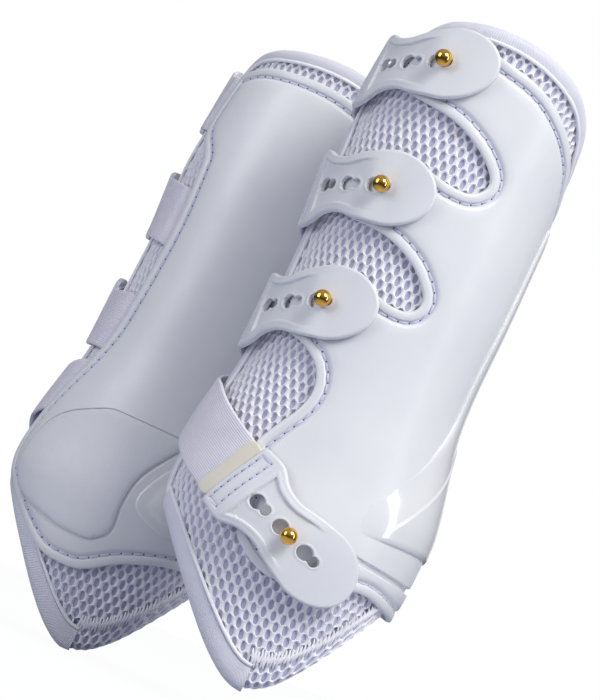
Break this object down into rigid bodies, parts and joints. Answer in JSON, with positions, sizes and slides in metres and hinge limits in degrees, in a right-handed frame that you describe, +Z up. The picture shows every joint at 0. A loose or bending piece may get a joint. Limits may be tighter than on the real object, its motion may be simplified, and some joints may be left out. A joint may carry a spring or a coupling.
{
  "type": "tendon boots",
  "caption": "Pair of white tendon boots for a horse's forelegs: moulded shells over spacer-mesh pads, closed by elastic straps whose keyhole tabs hook on ball studs.",
  "frame": {"origin": "on the left boot's leg axis, level with the tips of its side lobes", "axes": "+Z up the leg, -X towards the front of the leg, -Y towards the outer side of the left boot"},
  "size_m": [0.1956, 0.257, 0.3195],
  "materials": {
    "shell": "satin moulded",
    "guard": "glossy moulded",
    "strike_pad": "fine grained",
    "mesh": "knitted spacer mesh",
    "foam": "soft foam",
    "lining": "brushed knit",
    "binding": "twill tape",
    "elastic": "ribbed elastic",
    "tab": "satin moulded",
    "stud": "polished",
    "washer": "plain",
    "label": "woven tag"
  },
  "bodies": {
    "left_strap_1": {"left_strap_1_band": "elastic", "left_strap_1_tab": "tab"},
    "left_strap_2": {"left_strap_2_band": "elastic", "left_strap_2_tab": "tab"},
    "left_strap_3": {"left_strap_3_band": "elastic", "left_strap_3_tab": "tab"},
    "left_strap_4": {"left_strap_4_band": "elastic", "left_strap_4_tab": "tab", "left_strap_label": "label"},
    "left_boot": {"left_shell": "shell", "left_tendon_guard": "guard", "left_strike_pad": "strike_pad", "left_spacer_mesh": "mesh", "left_foam_pad": "foam", "left_inner_lining": "lining", "left_edge_binding": "binding", "left_lower_roll": "mesh", "left_stud_washers": "washer", "left_strap_1_anchor": "elastic", "left_strap_1_stud": "stud", "left_strap_2_anchor": "elastic", "left_strap_2_stud": "stud", "left_strap_3_anchor": "elastic", "left_strap_3_stud": "stud", "left_strap_4_anchor": "elastic", "left_strap_4_stud": "stud"},
    "right_strap_1": {"right_strap_1_band": "elastic", "right_strap_1_tab": "tab"},
    "right_strap_2": {"right_strap_2_band": "elastic", "right_strap_2_tab": "tab"},
    "right_strap_3": {"right_strap_3_band": "elastic", "right_strap_3_tab": "tab"},
    "right_strap_4": {"right_strap_4_band": "elastic", "right_strap_4_tab": "tab", "right_strap_label": "label"},
    "right_boot": {"right_shell": "shell", "right_tendon_guard": "guard", "right_strike_pad": "strike_pad", "right_spacer_mesh": "mesh", "right_foam_pad": "foam", "right_inner_lining": "lining", "right_edge_binding": "binding", "right_lower_roll": "mesh", "right_stud_washers": "washer", "right_strap_1_anchor": "elastic", "right_strap_1_stud": "stud", "right_strap_2_anchor": "elastic", "right_strap_2_stud": "stud", "right_strap_3_anchor": "elastic", "right_strap_3_stud": "stud", "right_strap_4_anchor": "elastic", "right_strap_4_stud": "stud"}
  },
  "joints": [
    {"name": "right_boot_apart", "type": "slide", "parent": "left_boot", "child": "right_boot", "axis": [0, 1, 0], "range_m": [0, 0.15]},
    {"name": "left_strap_1_swing", "type": "hinge", "parent": "left_boot", "child": "left_strap_1", "pos_m": [-0.05287, 0.0017, 0.26851], "axis": [-0.1415, -0.2234, -0.9644], "range_deg": [0, 104]},
    {"name": "left_strap_2_swing", "type": "hinge", "parent": "left_boot", "child": "left_strap_2", "pos_m": [-0.05613, 0.00209, 0.21041], "axis": [-0.0015, -0.1894, -0.9819], "range_deg": [0, 104]},
    {"name": "left_strap_3_swing", "type": "hinge", "parent": "left_boot", "child": "left_strap_3", "pos_m": [-0.05854, 0.00464, 0.14977], "axis": [-0.1133, -0.2963, -0.9483], "range_deg": [0, 104]},
    {"name": "left_strap_4_swing", "type": "hinge", "parent": "left_boot", "child": "left_strap_4", "pos_m": [-0.06646, -0.01062, 0.10452], "axis": [-0.2535, 0.4739, -0.8433], "range_deg": [0, 104]},
    {"name": "right_strap_1_swing", "type": "hinge", "parent": "right_boot", "child": "right_strap_1", "pos_m": [-0.1191, 0.1203, 0.25456], "axis": [0.1834, -0.2234, 0.9573], "range_deg": [0, 104]},
    {"name": "right_strap_2_swing", "type": "hinge", "parent": "right_boot", "child": "right_strap_2", "pos_m": [-0.1249, 0.11991, 0.19665], "axis": [0.0443, -0.1894, 0.9809], "range_deg": [0, 104]},
    {"name": "right_strap_3_swing", "type": "hinge", "parent": "right_boot", "child": "right_strap_3", "pos_m": [-0.12995, 0.11736, 0.13618], "axis": [0.1546, -0.2963, 0.9425], "range_deg": [0, 104]},
    {"name": "right_strap_4_swing", "type": "hinge", "parent": "right_boot", "child": "right_strap_4", "pos_m": [-0.13984, 0.13262, 0.09132], "axis": [0.2901, 0.4739, 0.8314], "range_deg": [0, 104]}
  ]
}
